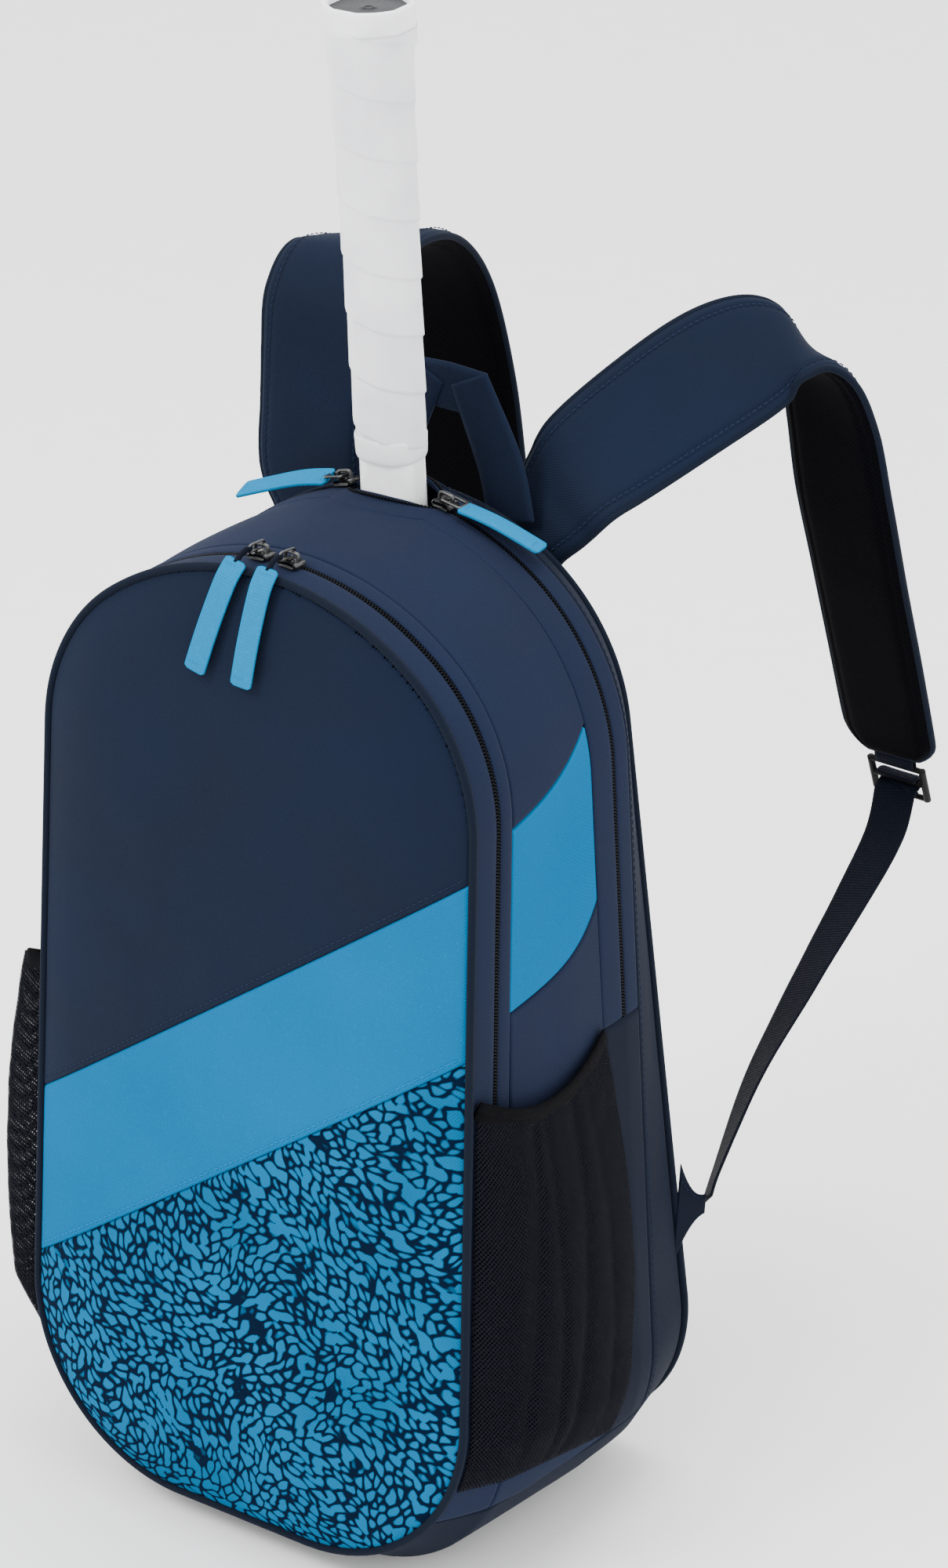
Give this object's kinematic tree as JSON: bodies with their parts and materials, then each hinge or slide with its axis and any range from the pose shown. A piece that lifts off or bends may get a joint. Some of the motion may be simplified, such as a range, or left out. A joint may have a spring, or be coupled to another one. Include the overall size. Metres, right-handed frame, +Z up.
{
  "type": "racket backpack",
  "caption": "Slim racket backpack with a domed front pocket, side mesh pockets, padded straps and a racket standing in its zipped main compartment.",
  "frame": {"origin": "middle of the flat base where the bag stands on the floor", "axes": "+X to the right of someone facing the front panel, +Y from the front panel towards the back panel and shoulder straps, +Z up"},
  "size_m": [0.274, 0.3883, 0.69],
  "materials": {
    "navy_cloth": "tightly woven polyester, matt",
    "blue_cloth": "smooth woven polyester, light sheen",
    "print_cloth": "woven polyester printed with a blue and dark navy coral pattern",
    "piping_cloth": "narrow woven piping tape",
    "zip_tape": "knitted zip tape",
    "zip_teeth": "moulded coil teeth, dark navy",
    "lining_cloth": "thin woven lining",
    "pocket_mesh": "open black mesh",
    "binding_tape": "black elastic binding",
    "spacer_mesh": "black spacer mesh",
    "foam_edge": "foam core seen at its cloth edge",
    "webbing": "ribbed narrow webbing",
    "buckle_plastic": "moulded black plastic",
    "slider_metal": "black enamelled zinc",
    "pull_cloth": "bright blue ribbed tape",
    "racket_paint": "white gloss paint",
    "string_nylon": "monofilament",
    "collar_rubber": "soft white rubber",
    "grip_wrap": "white overgrip tape, slightly tacky",
    "butt_plastic": "moulded white end cap with a recessed face"
  },
  "bodies": {
    "bag": {"front_panel_upper": "navy_cloth", "front_stripe": "blue_cloth", "front_print_panel": "print_cloth", "front_piping": "piping_cloth", "front_zip_tape_outer": "zip_tape", "front_zip_chain": "zip_teeth", "front_zip_tape_inner": "zip_tape", "gusset": "navy_cloth", "side_stripe": "blue_cloth", "bottom_panel": "navy_cloth", "main_zip_tape_front": "zip_tape", "main_zip_chain": "zip_teeth", "main_zip_tape_rear": "zip_tape", "zip_lips": "zip_tape", "rear_gusset": "navy_cloth", "rear_piping": "piping_cloth", "back_panel": "navy_cloth", "back_pad": "spacer_mesh", "yoke_patch": "navy_cloth", "strap_root_left": "navy_cloth", "strap_root_right": "navy_cloth", "anchor_tab_left": "navy_cloth", "anchor_tab_right": "navy_cloth", "divider_panel": "lining_cloth", "mesh_pocket_left": "pocket_mesh", "mesh_pocket_right": "pocket_mesh", "pocket_binding_left": "binding_tape", "pocket_binding_right": "binding_tape"},
    "racket": {"racket_frame": "racket_paint", "racket_strings": "string_nylon", "racket_collar": "collar_rubber", "racket_grip": "grip_wrap", "racket_butt_cap": "butt_plastic"},
    "strap_left": {"strap_cover_left": "navy_cloth", "strap_foam_left": "foam_edge", "strap_lining_left": "spacer_mesh", "strap_end_loop_left": "webbing", "ladder_lock_left": "buckle_plastic", "strap_webbing_left": "webbing"},
    "strap_right": {"strap_cover_right": "navy_cloth", "strap_foam_right": "foam_edge", "strap_lining_right": "spacer_mesh", "strap_end_loop_right": "webbing", "ladder_lock_right": "buckle_plastic", "strap_webbing_right": "webbing"},
    "haul": {"haul_loop": "navy_cloth"},
    "slider_main_left": {"main_slider_left": "slider_metal"},
    "pull_main_left": {"pull_link_main_left": "slider_metal", "pull_tab_main_left": "pull_cloth"},
    "slider_main_right": {"main_slider_right": "slider_metal"},
    "pull_main_right": {"pull_link_main_right": "slider_metal", "pull_tab_main_right": "pull_cloth"},
    "slider_front_left": {"front_slider_left": "slider_metal"},
    "pull_front_left": {"pull_link_front_left": "slider_metal", "pull_tab_front_left": "pull_cloth"},
    "slider_front_right": {"front_slider_right": "slider_metal"},
    "pull_front_right": {"pull_link_front_right": "slider_metal", "pull_tab_front_right": "pull_cloth"}
  },
  "joints": [
    {"name": "racket_slide", "type": "slide", "parent": "bag", "child": "racket", "axis": [-0.0118, -0.0539, 0.9985], "range_m": [0, 0.04]},
    {"name": "strap_right_swing", "type": "hinge", "parent": "bag", "child": "strap_right", "pos_m": [0.0632, 0.0968, 0.481], "axis": [-0.1889, 0.0128, 0.9819], "range_deg": [-25, 20]},
    {"name": "strap_left_swing", "type": "hinge", "parent": "bag", "child": "strap_left", "pos_m": [-0.078, 0.08, 0.4725], "axis": [0.1513, -0.0361, 0.9878], "range_deg": [-20, 25]},
    {"name": "haul_loop_tilt", "type": "hinge", "parent": "bag", "child": "haul", "pos_m": [0, 0.0718, 0.4575], "axis": [1, 0, 0], "range_deg": [-15, 12]},
    {"name": "slider_main_left_travel", "type": "hinge", "parent": "bag", "child": "slider_main_left", "pos_m": [0, 0.04, 0.348], "axis": [0, -1, 0], "range_deg": [0, 18]},
    {"name": "slider_main_right_travel", "type": "hinge", "parent": "bag", "child": "slider_main_right", "pos_m": [0, 0.04, 0.348], "axis": [0, 1, 0], "range_deg": [0, 23]},
    {"name": "slider_front_left_travel", "type": "hinge", "parent": "bag", "child": "slider_front_left", "pos_m": [0, -0.05408, 0.32821], "axis": [0, -0.9985, 0.0549], "range_deg": [0, 31]},
    {"name": "slider_front_right_travel", "type": "hinge", "parent": "bag", "child": "slider_front_right", "pos_m": [0, -0.05408, 0.32821], "axis": [0, 0.9985, -0.0549], "range_deg": [0, 32]},
    {"name": "pull_main_left_flip", "type": "hinge", "parent": "slider_main_left", "child": "pull_main_left", "pos_m": [-0.03137, 0.04, 0.46931], "axis": [0, 1, 0], "range_deg": [0, 75]},
    {"name": "pull_main_right_flip", "type": "hinge", "parent": "slider_main_right", "child": "pull_main_right", "pos_m": [0.02348, 0.04, 0.47108], "axis": [0, -1, 0], "range_deg": [0, 75]},
    {"name": "pull_front_left_flip", "type": "hinge", "parent": "slider_front_left", "child": "pull_front_left", "pos_m": [-0.00966, -0.04629, 0.46977], "axis": [-0.9977, -0.0037, -0.0679], "range_deg": [0, 85]},
    {"name": "pull_front_right_flip", "type": "hinge", "parent": "slider_front_right", "child": "pull_front_right", "pos_m": [0.00669, -0.04628, 0.46994], "axis": [-0.9989, 0.0026, 0.047], "range_deg": [0, 85]}
  ]
}
